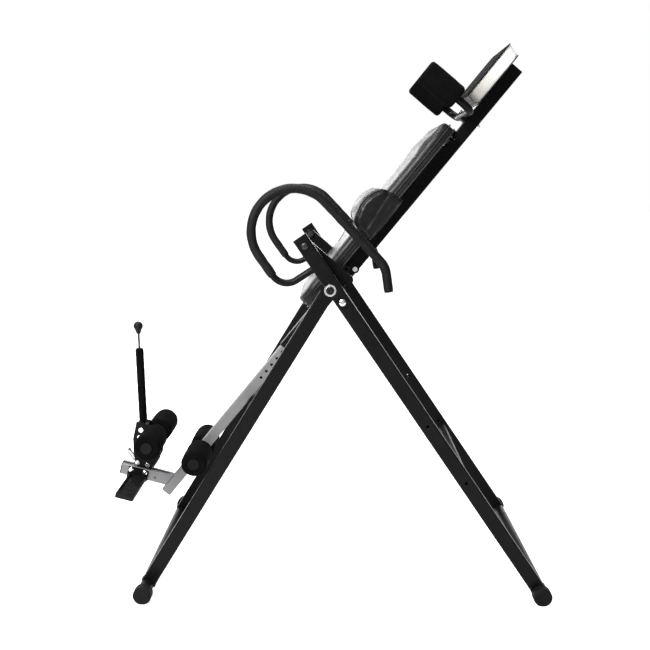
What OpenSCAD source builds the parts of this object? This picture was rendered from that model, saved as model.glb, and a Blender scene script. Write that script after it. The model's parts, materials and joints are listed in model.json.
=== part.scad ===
// Inversion table: folding A-frame, tilting bed, telescopic boom and ratchet ankle clamp.
// +X runs from the ankle end to the head end, +Z is up, and the floor is Z = 0.

/* [A-frame] */
// Distance between the two foot tubes
base_length = 1120; // [1100:5:1140]
// Overall width across the foot caps
base_width = 710; // [704:2:720]
// Height of the folding hinge
hinge_height = 883; // [878:1:888]
// Width of a leg, seen from the side
leg_w = 40; // [38:1:42]
// Outer diameter of the foot tubes
foot_tube_d = 38; // [34:1:38]
// Outer diameter of the rubber foot caps
foot_cap_d = 52; // [50:1:54]

/* [Bed] */
// Height of the bed's pivot
pivot_height = 1000.5; // [998:0.5:1003]
// Slope of the bed at rest, in degrees
tilt = 50.65; // [50:0.05:51.5]
// Width of the backrest
back_w = 400; // [380:10:410]
// Length of the backrest
back_l = 650; // [630:10:655]
// Width of the headrest
head_w = 220; // [180:10:260]

/* [Foam] */
// Diameter of the ankle rollers
roller_d = 78; // [70:1:80]
// Length of one ankle roller
roller_l = 128; // [110:1:132]
// Diameter of the shoulder rollers
shoulder_d = 70; // [60:1:72]
// Diameter of the foam on the hand rails
grip_d = 26; // [24:1:28]

/* [Hidden] */
$fn = 48;

near = -1;
far = 1;
paint = [0.07, 0.07, 0.075];
plastic = [0.12, 0.12, 0.13];
foam = [0.1, 0.1, 0.1];
vinyl = [0.09, 0.09, 0.095];
steel = [0.75, 0.76, 0.78];
chrome = [0.85, 0.85, 0.87];

// Points in the XZ plane, with X = 0 midway between the foot tubes
foot_z = foot_cap_d / 2 - 1;
hinge = [-34, hinge_height];
pivot = [-100.5, pivot_height];
rear_foot = [base_length / 2, foot_z];
front_foot = [-base_length / 2, foot_z];
function polar(v) = atan2(v[1], v[0]);
function along(v, a) = v[0] * cos(a) + v[1] * sin(a);
function across(v, a) = -v[0] * sin(a) + v[1] * cos(a);

// Sideways layout, as distances from the middle plane
leg_t = 30;
leg_wall = 1.5;
rear_leg_y = 296;
tab_t = 4;
front_leg_y = 259;
arm_y = 225;
arm_t = 20;
running = 0.05;
gap = 0.3;

// Legs
rear_dir = polar(pivot - rear_foot);
rear_pivot_x = norm(pivot - rear_foot);
rear_hinge = [along(hinge - rear_foot, rear_dir), across(hinge - rear_foot, rear_dir)];
rear_leg_top = rear_pivot_x + 25;
front_dir = polar(hinge - front_foot);
front_hinge_x = norm(hinge - front_foot);
leg_start = 8;
pin_d = 12;
cap_l = 28;
cap_wall = 5;
cross_bar_x = 354;
stop_offset = [33, -32];
stop_d = 10;
stop_r = norm(stop_offset);
stop_angle = polar(stop_offset);

// Bed frame: x runs up the bed, z stands off it, and the origin is on the pivot
tube_w = 38;
tube_wall = 1.5;
tube_z = -156.5;
tube_lo = -302;
tube_hi = 761;
tube_front = tube_z + tube_w / 2;
tube_back = tube_z - tube_w / 2;
back_z = -121;
back_front = -84;
board_t = 9;
back_lo = 503 - back_l;
back_r = 60;
yoke_bar_x = 6;
yoke_bolt = [18.4, -165.8];
arm_w = 28;
arm_end = [-3, -152];
bracket_w = 30;
head_lo = 598;
head_hi = 778;
head_back = -131;
head_front = -88;
shoulder_x = 569;
shoulder_y = 140;
shoulder_tube_d = 22;
shoulder_tube_z = tube_front + 2.5 + shoulder_tube_d / 2;

// Boom
boom_w = 32;
boom_lo = -905;
boom_hi = -122;
pin_x = -267;
hole_pitch = 26;
rear_axle_x = -726;
axle_d = 19;

// Rest bar on the front legs, just under the boom
rest_bar_d = 25;
pad_t = 3;
rest_z = tube_z - boom_w / 2 - gap - pad_t - rest_bar_d / 2;
hinge_off = across(hinge - pivot, tilt);
foot_off = across(front_foot - pivot, tilt);
rest_share = (rest_z - hinge_off) / (foot_off - hinge_off);
rest_x = front_hinge_x * (1 - rest_share);

// Ankle clamp: x runs back towards the boom along the channel, z stands off it
channel_tilt = 15;
channel_at = [-545, 242.5];
channel_w = 35;
channel_l = 150;
channel_wall = 2;
slot_w = 12;
front_axle_at = [-70, 134.5];
lever_at = [-118, 154];
lever_lean = -16;
lever_l = 238;
ball_at = 310;
rod_tip = 168.7;
rod_d = 6;
spring_at = [-115.5, 34];
block_lo = -115;
block_hi = -58;
plate_y = 22;
plate_t = 3;
rest_lo = -121;
rest_hi = -66;
foot_reach = 200;

// The origin is under the middle of the whole object
channel_cap_t = 3;
reach = (channel_l + channel_cap_t) * cos(channel_tilt) + channel_w / 2 * sin(channel_tilt);
left_end = channel_at[0] - reach;
right_end = base_length / 2 + foot_cap_d / 2;
origin_x = (left_end + right_end) / 2;

module ground() {
    translate([-origin_x, 0, 0]) children();
}

module at_point(p, a = 0) {
    ground() translate([p[0], 0, p[1]]) rotate([0, -a, 0]) children();
}

module on_bed() {
    at_point(pivot, tilt) children();
}

module on_clamp() {
    at_point(channel_at, -channel_tilt) children();
}

module both_sides() {
    children();
    mirror([0, 1, 0]) children();
}

// A profile drawn on z and y, run along x from lo to hi
module run_x(lo, hi) {
    translate([lo, 0, 0]) rotate([0, 90, 0]) linear_extrude(hi - lo) children();
}

// A side outline drawn on x and z, run along y from lo to hi
module run_y(lo, hi) {
    translate([0, hi, 0]) rotate([90, 0, 0]) linear_extrude(hi - lo) children();
}

// A round rod along y
module rod_y(d, lo, hi) {
    translate([0, lo, 0]) rotate([-90, 0, 0]) cylinder(d = d, h = hi - lo);
}

module round_rect(w, h, r) {
    square([w - 2 * r, h], center = true);
    square([w, h - 2 * r], center = true);
    for (x = [-1, 1], y = [-1, 1]) {
        translate([x * (w / 2 - r), y * (h / 2 - r)]) circle(r);
    }
}

module box_profile(w, h, wall, r = 4) {
    difference() {
        round_rect(w, h, r);
        round_rect(w - 2 * wall, h - 2 * wall, r - wall);
    }
}

module ring_profile(d, wall) {
    difference() {
        circle(d = d);
        circle(d = d - 2 * wall);
    }
}

// The straights are a hair larger and lap into the bends, so that they join cleanly
lap = 0.2;
swell = 1.004;

// A bent rod in the XY plane: each step is [straight length, bend radius, bend angle]
module bent_run(steps, i = 0) {
    if (i < len(steps)) {
        s = steps[i];
        turn = s[2];
        r = turn < 0 ? -s[1] : s[1];
        if (s[0] > 0) translate([-lap, 0, 0]) rotate([0, 90, 0])
            linear_extrude(s[0] + 2 * lap) scale(swell) children();
        if (turn != 0) {
            translate([s[0], r, 0]) rotate([0, 0, turn < 0 ? 90 + turn : -90])
                rotate_extrude(angle = abs(turn)) translate([abs(r), 0]) children();
        }
        translate([s[0] + r * sin(turn), r * (1 - cos(turn)), 0])
            rotate([0, 0, turn]) bent_run(steps, i + 1) children();
    }
}

// A bolt along y whose head rests on y = 0 and whose shank points to -y
module bolt(d, length, head_d, head_h) {
    rod_y(d, -length, 0);
    rod_y(head_d, 0, head_h * 0.7);
    translate([0, head_h * 0.7, 0]) rotate([-90, 0, 0])
        cylinder(d1 = head_d, d2 = head_d * 0.6, h = head_h * 0.3);
}

module nut(d, flats, h) {
    run_y(0, h) difference() {
        circle(d = flats / cos(30), $fn = 6);
        circle(d = d);
    }
}

// ---- A-frame ----

module foot_tube(at) {
    half = base_width / 2 - cap_wall;
    at_point(at) translate([0, -half, 0]) rotate([-90, 0, 0])
        linear_extrude(2 * half) ring_profile(foot_tube_d, 2);
}

module foot_caps(at) {
    edge = base_width / 2;
    at_point(at) both_sides() difference() {
        union() {
            rod_y(foot_cap_d, edge - cap_l, edge - 3);
            translate([0, edge - 3, 0]) rotate([-90, 0, 0])
                cylinder(d1 = foot_cap_d, d2 = foot_cap_d - 6, h = 3);
        }
        rod_y(foot_tube_d, edge - cap_l - 1, edge - cap_wall);
        translate([-foot_cap_d, edge - cap_l - 1, -foot_z - 5]) cube([2 * foot_cap_d, cap_l + 2, 5]);
    }
}

module rear_leg(side) {
    color(paint) at_point(rear_foot, rear_dir) translate([0, side * (rear_leg_y + leg_t / 2), 0])
        difference() {
            run_x(leg_start, rear_leg_top) box_profile(leg_w, leg_t, leg_wall);
            rod_y(foot_tube_d, -leg_t, leg_t);
            translate([rear_pivot_x, 0, 0]) rod_y(pin_d, -leg_t, leg_t);
            translate([rear_hinge[0], 0, rear_hinge[1]]) {
                rod_y(pin_d, -leg_t, leg_t);
                rotate([0, rear_dir, 0]) translate([stop_offset[0], 0, stop_offset[1]])
                    rod_y(stop_d, -leg_t, leg_t);
            }
            for (x = [390, 585]) translate([x, 0, 0]) rod_y(9, -leg_t, leg_t);
        }
}

module rear_leg_near() { rear_leg(near); }
module rear_leg_far() { rear_leg(far); }
module rear_foot_tube() { color(paint) foot_tube(rear_foot); }
module front_foot_tube() { color(paint) foot_tube(front_foot); }
module rear_foot_caps() { color(plastic) foot_caps(rear_foot); }
module front_foot_caps() { color(plastic) foot_caps(front_foot); }

cross_bar_z = foot_z + (base_length / 2 - cross_bar_x) * abs(tan(rear_dir));
module rear_cross_bar() {
    color(paint) at_point([cross_bar_x, cross_bar_z], rear_dir)
        translate([0, -rear_leg_y, 0]) rotate([-90, 0, 0])
            linear_extrude(2 * rear_leg_y) box_profile(20, 20, 1.5, 3);
}

module leg_end_plugs() {
    inner_w = leg_w - 2 * leg_wall;
    inner_t = leg_t - 2 * leg_wall;
    color(plastic) at_point(rear_foot, rear_dir) both_sides()
        translate([0, rear_leg_y + leg_t / 2, 0]) {
            run_x(rear_leg_top - 16, rear_leg_top) round_rect(inner_w, inner_t, 2.5);
            run_x(rear_leg_top, rear_leg_top + 2) round_rect(leg_w, leg_t, 4);
        }
}

// The tab is a disc on the hinge with a heel that meets the stop bolt when the frame is open
module stop_tab() {
    heel = stop_angle + asin((stop_d / 2 + gap) / stop_r);
    reach_r = stop_r + 8;
    circle(27);
    polygon([
        [0, 0],
        reach_r * [cos(heel), sin(heel)],
        reach_r * [cos(heel + 12), sin(heel + 12)],
        36 * [cos(heel + 34), sin(heel + 34)]
    ]);
}

module front_leg(side) {
    color(paint) at_point(front_foot, front_dir) mirror([0, side < 0 ? 1 : 0, 0]) difference() {
        union() {
            translate([0, front_leg_y + leg_t / 2, 0]) intersection() {
                run_x(leg_start, front_hinge_x + leg_w / 2) box_profile(leg_w, leg_t, leg_wall);
                union() {
                    translate([0, -leg_t, -leg_w]) cube([front_hinge_x, 2 * leg_t, 2 * leg_w]);
                    translate([front_hinge_x, 0, 0]) rod_y(leg_w, -leg_t, leg_t);
                }
            }
            translate([front_hinge_x, 0, 0]) {
                rod_y(pin_d + 6, front_leg_y + leg_wall / 2, front_leg_y + leg_t - leg_wall / 2);
                rotate([0, front_dir, 0])
                    run_y(front_leg_y + leg_t, front_leg_y + leg_t + tab_t) stop_tab();
            }
        }
        rod_y(foot_tube_d, 0, base_width);
        translate([front_hinge_x, 0, 0]) rod_y(pin_d + 2 * running, 0, base_width);
    }
}

module front_leg_near() { front_leg(near); }
module front_leg_far() { front_leg(far); }

module hinge_bolts() {
    outer = rear_leg_y + leg_t;
    color(chrome) at_point(hinge) both_sides() difference() {
        union() {
            rod_y(pin_d, front_leg_y - 12, outer);
            rod_y(32, outer, outer + 3);
            rod_y(22, outer + 3, outer + 5);
        }
        rod_y(17, outer + 1, outer + 6);
    }
}

module hinge_washers() {
    lo = front_leg_y + leg_t + tab_t + gap;
    color(steel) at_point(hinge) both_sides() difference() {
        rod_y(30, lo, rear_leg_y);
        rod_y(pin_d + 0.2, lo - 1, rear_leg_y + 1);
    }
}

module spread_stop_bolts() {
    outer = rear_leg_y + leg_t;
    color(chrome) at_point(hinge + stop_offset) both_sides() translate([0, outer, 0])
        bolt(stop_d, outer - front_leg_y - leg_t - 0.8, 18, 7);
}

// ---- Hand rails ----

rail_tube_d = 19;
rail_y = 316;
rail_start = [-80, 938];
rail_dir = 212.8;
rail_bare = [[53.5, 45, -88]];
rail_bow = [[63, 113, -171.5], [212, 65, -35], [48, 1, 0]];
grip_bore = rail_tube_d + 0.2;
rail_in = leg_w / 2;

module rail_path(steps) {
    translate([0, rail_y, 0]) rotate([90, 0, 0]) bent_run(steps) children();
}

module rail_tube() {
    difference() {
        at_point(rail_start, rail_dir) translate([-rail_in, 0, 0])
            rail_path(concat([[rail_bare[0][0] + rail_in, rail_bare[0][1], rail_bare[0][2]]], rail_bow))
                ring_profile(rail_tube_d, 1.5);
        at_point(rear_foot, rear_dir) translate([0, rear_leg_y + leg_t / 2, 0])
            run_x(0, rear_leg_top) square([leg_w, 2 * leg_t], center = true);
    }
}

module rail_grip() {
    first = rail_bare[0];
    at_point(rail_start, rail_dir) translate([0, rail_y, 0]) rotate([90, 0, 0])
        translate([first[0] + first[1] * sin(-first[2]), -first[1] * (1 - cos(first[2])), 0])
            rotate([0, 0, first[2]]) bent_run(rail_bow) ring_profile(grip_d, (grip_d - grip_bore) / 2);
}

module hand_rails() {
    color(paint) both_sides() rail_tube();
}

module rail_grips() {
    color(foam) both_sides() rail_grip();
}

// ---- Pivot ----

module pivot_bolts() {
    outer = rear_leg_y + leg_t;
    color(chrome) at_point(pivot) both_sides() translate([0, outer, 0])
        bolt(pin_d, outer - arm_y + 12, 18, 7);
}

module lock_nuts() {
    color(steel) both_sides() {
        at_point(pivot) translate([0, arm_y - 10, 0]) nut(pin_d, 18, 9.7);
        at_point(hinge) translate([0, front_leg_y - 10, 0]) nut(pin_d, 18, 9.7);
    }
}

module pivot_spacers() {
    color(steel) at_point(pivot) both_sides() difference() {
        rod_y(20, arm_y + arm_t + gap, rear_leg_y);
        rod_y(pin_d + 0.2, arm_y, rear_leg_y + 1);
    }
}

module pivot_bushes() {
    color(plastic) on_bed() both_sides() difference() {
        rod_y(pin_d + 6, arm_y, arm_y + arm_t);
        rod_y(pin_d + 2 * running, arm_y - 1, arm_y + arm_t + 1);
    }
}

module arm_outline() {
    rotate(polar(arm_end)) translate([0, -arm_w / 2]) square([norm(arm_end), arm_w]);
    circle(d = arm_w);
    translate(arm_end) circle(d = arm_w);
}

// A tab on the side of the main tube, for the bolt that holds the yoke to it
module yoke_cheek() {
    face = tube_w / 2 + 0.1;
    r = 13;
    run_y(face, face + 3) difference() {
        union() {
            translate([yoke_bolt[0] - r, yoke_bolt[1]]) square([2 * r, -132 - yoke_bolt[1]]);
            translate(yoke_bolt) circle(r);
        }
        translate(yoke_bolt) circle(d = 8);
    }
}

module pivot_yoke() {
    bar_h = back_z - tube_front;
    color(paint) on_bed() {
        both_sides() difference() {
            run_y(arm_y, arm_y + arm_t) arm_outline();
            rod_y(pin_d + 6, arm_y - 1, arm_y + arm_t + 1);
        }
        cross_piece(yoke_bar_x, arm_y, bar_h);
        both_sides() yoke_cheek();
    }
}

// A hollow cross piece that fills the space between the main tube and the board
module cross_piece(x, half, h, w = bracket_w) {
    translate([x, -half, tube_front + h / 2]) rotate([-90, 0, 0])
        linear_extrude(2 * half) difference() {
            square([w, h], center = true);
            square([w - 4, h - 4], center = true);
        }
}

// ---- Bed ----

module main_tube() {
    color(paint) on_bed() difference() {
        translate([0, 0, tube_z]) run_x(tube_lo, tube_hi) box_profile(tube_w, tube_w, tube_wall);
        translate([shoulder_x, 0, tube_back - 1]) cylinder(d = 8, h = tube_w + 2);
        translate([pin_x, 0, tube_z]) rod_y(9, -tube_w, 0);
        translate([yoke_bolt[0], 0, yoke_bolt[1]]) rod_y(8, -tube_w, tube_w);
    }
}

module main_tube_plug() {
    inner = tube_w - 2 * tube_wall;
    color(plastic) on_bed() translate([0, 0, tube_z]) {
        run_x(tube_hi - 15, tube_hi) round_rect(inner, inner, 4 - tube_wall);
        run_x(tube_hi, tube_hi + 3) round_rect(tube_w, tube_w, 4);
    }
}

bracket_x = [-95, 484];
screw_y = 110;
rail_at = 80;
rail_end = 455;
module board_screw_at() {
    for (x = bracket_x, y = [-screw_y, screw_y]) translate([x, y, 0]) children();
}

// An angle under the board, notched where the pillow's strap passes
module board_angle(lo, hi) {
    translate([lo, rail_at - 1.5, tube_front]) difference() {
        cube([hi - lo, 1.5, back_z - tube_front]);
        translate([strap_x - strap_w / 2 - 2 - lo, -1, back_z - tube_front - 4]) cube([strap_w + 4, 4, 5]);
    }
    translate([lo, rail_at - 14, tube_front]) cube([hi - lo, 14, 1.5]);
}

module board_brackets() {
    half = bracket_w / 2;
    color(paint) on_bed() difference() {
        union() {
            for (x = bracket_x) cross_piece(x, 150, back_z - tube_front);
            both_sides() {
                board_angle(bracket_x[0] + half, yoke_bar_x - half);
                board_angle(yoke_bar_x + half, rail_end);
            }
        }
        board_screw_at() translate([0, 0, tube_front - 1]) cylinder(d = 5, h = back_z - tube_front + 2);
    }
}

module back_outline(inset = 0) {
    translate([back_lo + back_l / 2, 0])
        round_rect(back_l - 2 * inset, back_w - 2 * inset, back_r - inset);
}

module back_board() {
    color("burlywood") on_bed() translate([0, 0, back_z]) difference() {
        linear_extrude(board_t) back_outline(8);
        board_screw_at() translate([0, 0, -1]) cylinder(d = 5, h = 8);
    }
}

module bed_bolt(x, top) {
    translate([x, 0, tube_back]) {
        cylinder(d = 8, h = top - tube_back);
        translate([0, 0, -2]) cylinder(d = 18, h = 2);
        translate([0, 0, -8]) cylinder(d1 = 8, d2 = 14, h = 6);
    }
}

module bed_bolts() {
    top = shoulder_tube_z + shoulder_tube_d / 2;
    cheek = tube_w / 2 + 3.1;
    color(chrome) on_bed() {
        bed_bolt(shoulder_x, top + 5);
        translate([shoulder_x, 0, top]) cylinder(d = 14, h = 5);
        board_screw_at() {
            translate([0, 0, tube_front]) cylinder(d = 5, h = back_z + 7 - tube_front);
            translate([0, 0, tube_front - 3]) cylinder(d1 = 7, d2 = 11, h = 3);
        }
        translate([yoke_bolt[0], 0, yoke_bolt[1]]) {
            rod_y(8, -cheek, cheek);
            rod_y(15, cheek, cheek + 5);
            rod_y(15, -cheek - 5, -cheek);
        }
    }
}

module backrest_cushion() {
    color(vinyl) on_bed() difference() {
        translate([0, 0, back_z]) linear_extrude(back_front - back_z) back_outline();
        translate([0, 0, back_z - 1]) linear_extrude(board_t + 1) back_outline(8);
    }
}

pillow_lo = 122;
pillow_hi = 258;
pillow_front = -42;
pillow_y = back_w / 2 + 9;
flap_z = -133;
module lumbar_pillow() {
    inner = back_w / 2 + gap;
    color(vinyl) on_bed() {
        translate([pillow_lo, -pillow_y, back_front + gap])
            cube([pillow_hi - pillow_lo, 2 * pillow_y, pillow_front - back_front - gap]);
        both_sides() translate([pillow_lo, inner, flap_z])
            cube([pillow_hi - pillow_lo, pillow_y - inner, back_front - flap_z + 1]);
    }
}

strap_x = 190;
strap_w = 38;
strap_tail = [59, -66, 11.7];
module pillow_strap() {
    inner = back_w / 2 + gap;
    color(plastic) on_bed() {
        translate([strap_x - strap_w / 2, -inner, back_z - 3]) cube([strap_w, 2 * inner, 2]);
        translate([strap_tail[0], -pillow_y + 4, strap_tail[1]]) rotate([0, -strap_tail[2], 0])
            cube([64.3, 20, 2]);
    }
}

module headrest_plate() {
    color(paint) on_bed() cross_piece((head_lo + head_hi) / 2, 60, head_back - tube_front, 44);
}

module headrest_pad() {
    color(vinyl) on_bed() translate([(head_lo + head_hi) / 2, 0, head_back])
        linear_extrude(head_front - head_back) round_rect(head_hi - head_lo, head_w, 40);
}

module shoulder_saddle() {
    color(plastic) on_bed() translate([shoulder_x, 0, 0]) difference() {
        translate([-17, -17, tube_front]) cube([34, 34, shoulder_tube_z - tube_front]);
        translate([0, 0, shoulder_tube_z]) rod_y(shoulder_tube_d + 0.2, -20, 20);
        translate([0, 0, tube_front - 1]) cylinder(d = 8, h = 20);
    }
}

shoulder_top = 40;
shoulder_bend = 36;
module shoulder_tube() {
    post = shoulder_top - shoulder_tube_z - shoulder_bend;
    steps = [[post, shoulder_bend, 90], [2 * (shoulder_y - shoulder_bend), shoulder_bend, 90], [post, 1, 0]];
    color(paint) on_bed() translate([shoulder_x, 0, 0]) difference() {
        translate([0, -shoulder_y, shoulder_top]) rotate([0, 0, 90]) rotate([90, 0, 0])
            rotate([0, 0, -90]) bent_run(steps) ring_profile(shoulder_tube_d, 1.5);
        translate([0, 0, shoulder_tube_z - 20]) cylinder(d = 8, h = 40);
    }
}

shoulder_foam_lo = -75;
shoulder_foam_hi = 46;
module shoulder_foam() {
    color(foam) on_bed() both_sides() translate([shoulder_x, shoulder_y, shoulder_foam_lo])
        difference() {
            cylinder(d = shoulder_d, h = shoulder_foam_hi - shoulder_foam_lo);
            translate([0, 0, -1])
                cylinder(d = shoulder_tube_d * swell, h = shoulder_top + lap - shoulder_foam_lo + 1);
        }
}

// ---- Boom ----

module boom_guide() {
    inner = tube_w - 2 * tube_wall;
    slide = boom_w + 0.4;
    color(plastic) on_bed() translate([0, 0, tube_z]) difference() {
        union() {
            run_x(tube_lo, pin_x - 8) round_rect(inner, inner, 4 - tube_wall);
            run_x(tube_lo - 3, tube_lo) round_rect(tube_w, tube_w, 4);
        }
        run_x(tube_lo - 4, pin_x) round_rect(slide, slide, 2);
    }
}

module pin_housing() {
    color(steel) on_bed() translate([pin_x, -tube_w / 2, tube_z]) difference() {
        rod_y(18, -18, 0);
        rod_y(8 + 2 * running, -19, 1);
    }
}

module adjuster_pin() {
    face = tube_w / 2;
    color(steel) on_bed() translate([pin_x, 0, tube_z]) rod_y(8, -face - 33, -boom_w / 2 - 0.5);
}

module adjuster_knob() {
    face = tube_w / 2;
    color(plastic) on_bed() translate([pin_x, 0, tube_z]) difference() {
        union() {
            rod_y(20, -face - 34, -face - 22);
            rod_y(16, -face - 37, -face - 34);
        }
        rod_y(8, -face - 33, 0);
        for (a = [0:45:315]) rotate([0, a, 0]) translate([11.5, 0, 0]) rod_y(5, -face - 38, -face - 21);
    }
}

module boom_tube() {
    color(steel) on_bed() translate([0, 0, tube_z]) difference() {
        run_x(boom_lo, boom_hi) box_profile(boom_w, boom_w, 2);
        for (k = [-3:6]) translate([pin_x - k * hole_pitch, 0, 0]) rod_y(9, -boom_w, boom_w);
        translate([rear_axle_x, 0, 0]) rod_y(axle_d, -boom_w, boom_w);
    }
}

module roller_axle(inner) {
    end = inner + roller_l + 2 * gap;
    difference() {
        rod_y(axle_d, -end, end);
        rod_y(axle_d - 4, -end - 1, end + 1);
    }
    both_sides() {
        rod_y(34, end, end + 3);
        rod_y(axle_d - 4, end - 12, end);
    }
}

rear_axle_in = boom_w / 2 + 6;
front_axle_in = plate_y + plate_t + 2;
module rear_axle() {
    color(plastic) on_bed() translate([rear_axle_x, 0, tube_z]) roller_axle(rear_axle_in);
}
module front_axle() {
    color(plastic) on_clamp() translate([front_axle_at[0], 0, front_axle_at[1]])
        roller_axle(front_axle_in);
}

module foam_roller(side, inner) {
    mirror([0, side < 0 ? 1 : 0, 0]) difference() {
        union() {
            rod_y(roller_d, inner + gap + 4, inner + gap + roller_l - 4);
            translate([0, inner + gap, 0]) rotate([-90, 0, 0])
                cylinder(d1 = roller_d - 8, d2 = roller_d, h = 4);
            translate([0, inner + gap + roller_l - 4, 0]) rotate([-90, 0, 0])
                cylinder(d1 = roller_d, d2 = roller_d - 8, h = 4);
        }
        rod_y(axle_d + 0.16, inner - 1, inner + roller_l + 2);
    }
}

module rear_roller(side) {
    color(foam) on_bed() translate([rear_axle_x, 0, tube_z]) foam_roller(side, rear_axle_in);
}
module front_roller(side) {
    color(foam) on_clamp() translate([front_axle_at[0], 0, front_axle_at[1]])
        foam_roller(side, front_axle_in);
}
module rear_roller_near() { rear_roller(near); }
module rear_roller_far() { rear_roller(far); }
module front_roller_near() { front_roller(near); }
module front_roller_far() { front_roller(far); }

module ankle_channel() {
    inner = channel_w / 2 - channel_wall;
    color(steel) difference() {
        on_clamp() difference() {
            run_x(-channel_l, 30) box_profile(channel_w, channel_w, channel_wall, 3);
            translate([-channel_l - 1, -slot_w / 2, inner - 1]) cube([channel_l + 1, slot_w, 5]);
            for (x = screw_x) translate([x, 0, screw_z]) rod_y(8, -channel_w, channel_w);
            translate([-42, 0, -3]) rod_y(8, -channel_w, channel_w);
        }
        on_bed() translate([boom_lo - 20, -channel_w, tube_z - 60])
            cube([300, 2 * channel_w, 60 + boom_w / 2]);
    }
}

module channel_cap() {
    inner = channel_w - 2 * channel_wall;
    color(plastic) on_clamp() {
        run_x(-channel_l - channel_cap_t, -channel_l) round_rect(channel_w, channel_w, 3);
        run_x(-channel_l, -channel_l + 10) difference() {
            square(inner - 2, center = true);
            square(inner - 6, center = true);
        }
    }
}

tooth = 5;
module ratchet_rack() {
    floor_z = -channel_w / 2 + channel_wall;
    lo = -136;
    count = 21;
    teeth = [for (i = [0:count - 1]) each [[lo + i * tooth, 3], [lo + i * tooth, 6]]];
    color(steel) on_clamp() translate([0, 0, floor_z]) run_y(-6, 6)
        polygon(concat([[lo, 0]], teeth, [[lo + count * tooth, 3], [lo + count * tooth, 0]]));
}

screw_x = [-118.5, -75];
screw_z = 7;
module footrest_bracket() {
    half = channel_w / 2;
    color(paint) on_clamp() difference() {
        union() {
            both_sides() run_y(half, half + 4)
                polygon([[-128, 14], [-110, 16], [-84, 16], [-64, 14], [-64, -22], [-128, -22]]);
            translate([-128, -half - 4, -22]) cube([64, 2 * half + 8, 4.5]);
            both_sides() translate([-108, half + 4, -22]) cube([30, 165, 4]);
        }
        for (x = screw_x) translate([x, 0, screw_z]) rod_y(8, -half - 5, half + 5);
    }
}

module footrest_screws() {
    half = channel_w / 2;
    color(chrome) on_clamp() for (x = screw_x) translate([x, 0, screw_z]) both_sides()
        translate([0, half + 4, 0]) bolt(8, 8, 15, 6);
}

module foot_plates() {
    inner = channel_w / 2 + 4 + gap;
    rim = 4;
    rib_count = 7;
    rib_step = (foot_reach - inner - 2 * rim) / (rib_count + 1);
    color(plastic) on_clamp() both_sides() {
        difference() {
            translate([0, 0, -18]) linear_extrude(12) translate([(rest_lo + rest_hi) / 2, (inner + foot_reach) / 2])
                round_rect(rest_hi - rest_lo, foot_reach - inner, 6);
            translate([0, 0, -13]) linear_extrude(12) translate([(rest_lo + rest_hi) / 2, (inner + foot_reach) / 2])
                round_rect(rest_hi - rest_lo - 2 * rim, foot_reach - inner - 2 * rim, 3);
        }
        for (i = [1:rib_count])
            translate([rest_lo + 8, inner + rim + i * rib_step - 2, -13])
                cube([rest_hi - rest_lo - 16, 4, 1.2]);
    }
}

// ---- Ankle clamp ----

module rod_hole(d) {
    translate([lever_at[0], 0, lever_at[1]]) rotate([0, lever_lean, 0])
        translate([0, 0, -rod_tip - 5]) cylinder(d = d, h = 300);
}

module slide_block() {
    top = channel_w / 2 + gap;
    under = channel_w / 2 - channel_wall - gap;
    color(plastic) on_clamp() difference() {
        union() {
            translate([block_lo, -plate_y, plate_foot]) cube([block_hi - block_lo, 2 * plate_y, 18]);
            translate([block_lo + 10, -12, top]) cube([45, 24, plate_foot + 1 - top]);
            translate([block_lo + 10, -slot_w / 2 + gap, 6]) cube([45, slot_w - 2 * gap, top]);
            translate([block_lo + 10, -12, 6]) cube([45, 24, under - 6]);
        }
        rod_hole(rod_d + 2 * running);
        at_spring() translate([0, 0, -4]) cylinder(d = 8 + 2 * running, h = 20);
        at_spring() cylinder(d = 18, h = 30);
        for (x = clamp_bolt_x) translate([x, 0, clamp_bolt_z]) rod_y(8, -plate_y - 1, plate_y + 1);
    }
}

clamp_bolt_x = [-104, -72];
clamp_bolt_z = 36;
plate_foot = 27;
// Each rivet is [x, z, head diameter]
rivets = [[-117, 140, 15], [-119, 117, 9]];
module clamp_bracket() {
    color(paint) on_clamp() both_sides() difference() {
        run_y(plate_y, plate_y + plate_t) difference() {
            polygon([
                [-107, plate_foot], [-64, plate_foot], [-54, 36], [-46, 54], [-42, 75], [-46, 125],
                [-58, 150], [-102, 163], [-137, 162], [-135, 107], [-123, 62], [-114, 44], [-112, 33]
            ]);
            for (r = rivets) translate([r[0], r[1]]) circle(d = 6);
        }
        translate([front_axle_at[0], 0, front_axle_at[1]]) rod_y(axle_d, 0, 40);
        for (x = clamp_bolt_x) translate([x, 0, clamp_bolt_z]) rod_y(8, 0, 40);
    }
}

module clamp_bolts() {
    color(chrome) on_clamp() for (x = clamp_bolt_x) translate([x, 0, clamp_bolt_z]) {
        outer = plate_y + plate_t;
        rod_y(8, -outer, outer);
        rod_y(14, outer, outer + 5);
        rod_y(14, -outer - 5, -outer);
    }
    color(chrome) on_clamp() both_sides() for (r = rivets) translate([r[0], 0, r[1]]) {
        rod_y(6, plate_y, plate_y + plate_t);
        rod_y(r[2], plate_y + plate_t, plate_y + plate_t + 2.5);
    }
}

module lever_tube() {
    color(paint) difference() {
        union() {
            on_clamp() translate([-134, -plate_y, 150]) cube([32, 2 * plate_y, 10]);
            on_lever() cylinder(d = 19, h = lever_l + 3);
        }
        on_lever() {
            translate([0, 0, -20]) cylinder(d = rod_d + 2 * running, h = 300);
            translate([0, 0, 14]) cylinder(d = 15, h = lever_l - 26);
        }
    }
}

module lever_grip() {
    color(foam) on_lever() translate([0, 0, 12]) linear_extrude(lever_l - 12) ring_profile(25, 3);
}

module at_spring() {
    translate([spring_at[0], 0, spring_at[1]]) rotate([0, -49, 0]) children();
}

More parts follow.
